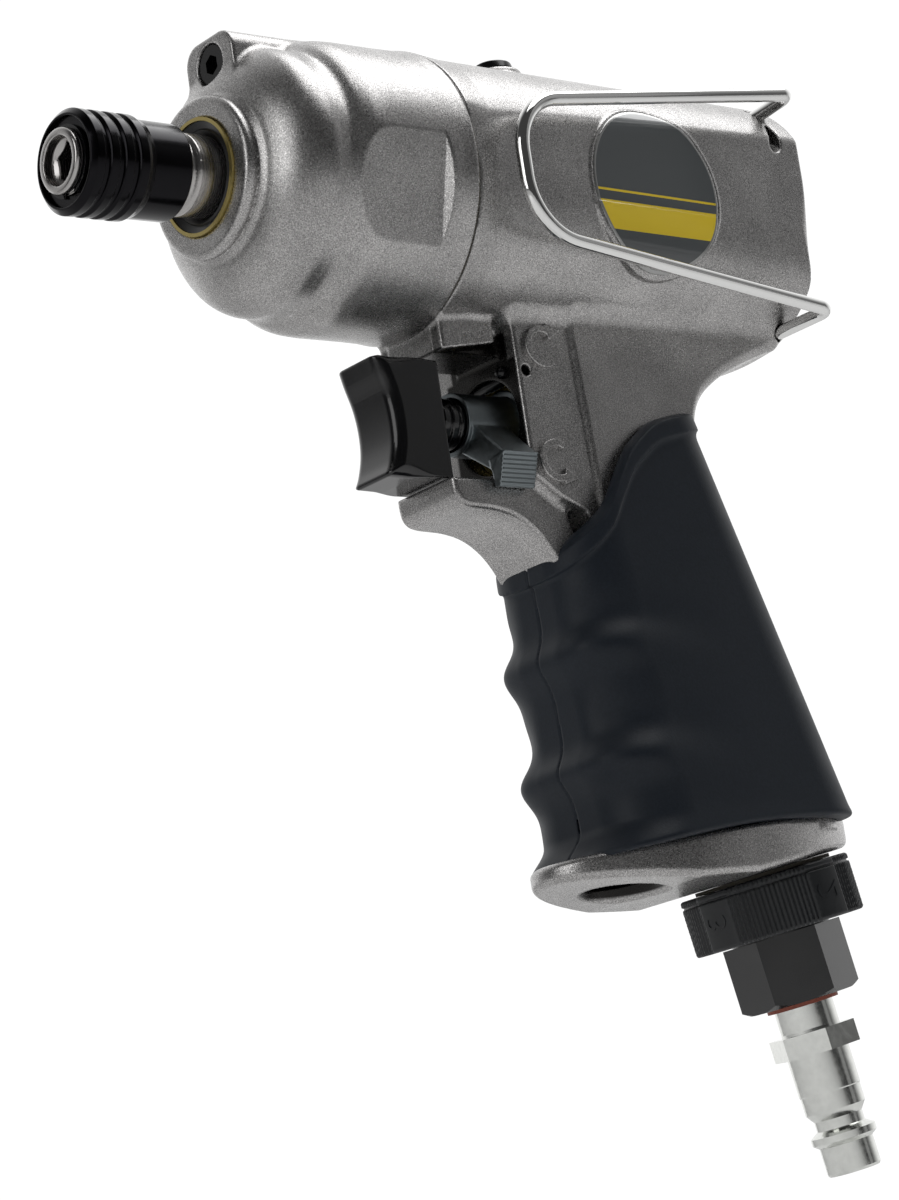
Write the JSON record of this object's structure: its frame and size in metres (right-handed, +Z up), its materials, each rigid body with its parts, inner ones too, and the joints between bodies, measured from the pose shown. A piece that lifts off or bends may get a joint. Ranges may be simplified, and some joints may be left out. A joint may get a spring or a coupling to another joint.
{
  "type": "impact wrench",
  "caption": "Pistol-grip pneumatic impact driver with hex quick-change chuck, cast case, rubber grip, trigger, reverse lever, air inlet plug and wire belt hook.",
  "frame": {"origin": "centre of the anvil's front face, on the drive axis", "axes": "+X forward out of the hex socket, +Y to the tool's left, +Z up"},
  "size_m": [0.1526, 0.0564, 0.2083],
  "materials": {
    "silver_paint": "metallic speckled paint on die-cast aluminium",
    "black_oxide": "glossy black oxide",
    "machined_steel": "machined",
    "hard_steel": "hardened and ground",
    "bronze": "sintered bronze",
    "black_rubber": "matte",
    "seal_rubber": "satin",
    "black_plastic": "satin moulded",
    "ring_plastic": "knurled moulded",
    "zinc_casting": "raw zinc casting",
    "zinc_plate": "bright zinc plated",
    "chrome_wire": "polished",
    "label_film": "printed film under clear coat",
    "fibre": "vulcanised fibre",
    "gasket_paper": "gasket paper",
    "black_steel": "blackened"
  },
  "bodies": {
    "housing": {"anvil_seal": "seal_rubber", "anvil_bush": "bronze", "hammer_case": "silver_paint", "case_gasket": "gasket_paper", "top_case_screw": "black_steel", "rear_case_screws": "black_steel", "motor_housing": "silver_paint", "label_plate": "label_film", "oil_plug": "black_steel", "motor_cylinder": "hard_steel", "front_end_plate": "hard_steel", "locating_dowel": "hard_steel", "rear_end_plate": "hard_steel", "front_bearing_outer": "hard_steel", "rear_bearing_outer": "hard_steel", "throttle_spring": "hard_steel", "valve_bush": "bronze", "retaining_pin": "black_steel", "lever_stop_pin": "zinc_plate", "rubber_grip": "black_rubber", "inlet_bushing": "black_plastic", "inlet_seal": "gasket_paper", "inlet_screen": "machined_steel", "fibre_washer": "fibre", "plug_nipple": "zinc_plate", "exhaust_silencer": "gasket_paper", "wire_hook": "chrome_wire"},
    "anvil": {"anvil": "machined_steel", "snap_ring": "black_steel", "sleeve_washer": "black_oxide", "sleeve_spring": "hard_steel", "locking_ball": "hard_steel"},
    "chuck_sleeve": {"chuck_sleeve": "black_oxide"},
    "rotor": {"rotor": "hard_steel", "vanes": "fibre", "hammer_cage": "hard_steel", "hammer_pins": "hard_steel", "front_hammer": "hard_steel", "rear_hammer": "hard_steel", "front_bearing_inner": "hard_steel", "rear_bearing_inner": "hard_steel", "front_bearing_balls": "hard_steel", "rear_bearing_balls": "hard_steel"},
    "trigger": {"trigger_button": "black_plastic", "trigger_stem": "hard_steel", "throttle_valve": "bronze"},
    "reverse_lever": {"reverse_lever": "zinc_casting", "reverse_valve": "black_steel"},
    "regulator_ring": {"regulator_ring": "ring_plastic"}
  },
  "joints": [
    {"name": "rotor_spin", "type": "hinge", "parent": "housing", "child": "rotor", "pos_m": [0, 0, 0], "axis": [1, 0, 0], "continuous": true},
    {"name": "anvil_spin", "type": "hinge", "parent": "housing", "child": "anvil", "pos_m": [0, 0, 0], "axis": [1, 0, 0], "continuous": true},
    {"name": "sleeve_slide", "type": "slide", "parent": "anvil", "child": "chuck_sleeve", "axis": [1, 0, 0], "range_m": [0, 0.0035], "stiffness_N_per_m": 1500, "springref_m": -0.003, "deforming": ["sleeve_spring"]},
    {"name": "trigger_pull", "type": "slide", "parent": "housing", "child": "trigger", "axis": [-1, 0, 0], "range_m": [0, 0.004], "stiffness_N_per_m": 1500, "springref_m": -0.004, "deforming": ["throttle_spring"]},
    {"name": "reverse_turn", "type": "hinge", "parent": "housing", "child": "reverse_lever", "pos_m": [-0.0828, 0, -0.0416], "axis": [1, 0, 0], "range_deg": [0, 60]},
    {"name": "regulator_turn", "type": "hinge", "parent": "housing", "child": "regulator_ring", "pos_m": [-0.1349, 0, -0.12874], "axis": [-0.199, 0, -0.98], "range_deg": [0, 90]}
  ],
  "couplings": [
    {"joint": "anvil_spin", "follows": "rotor_spin", "ratio": 1}
  ]
}
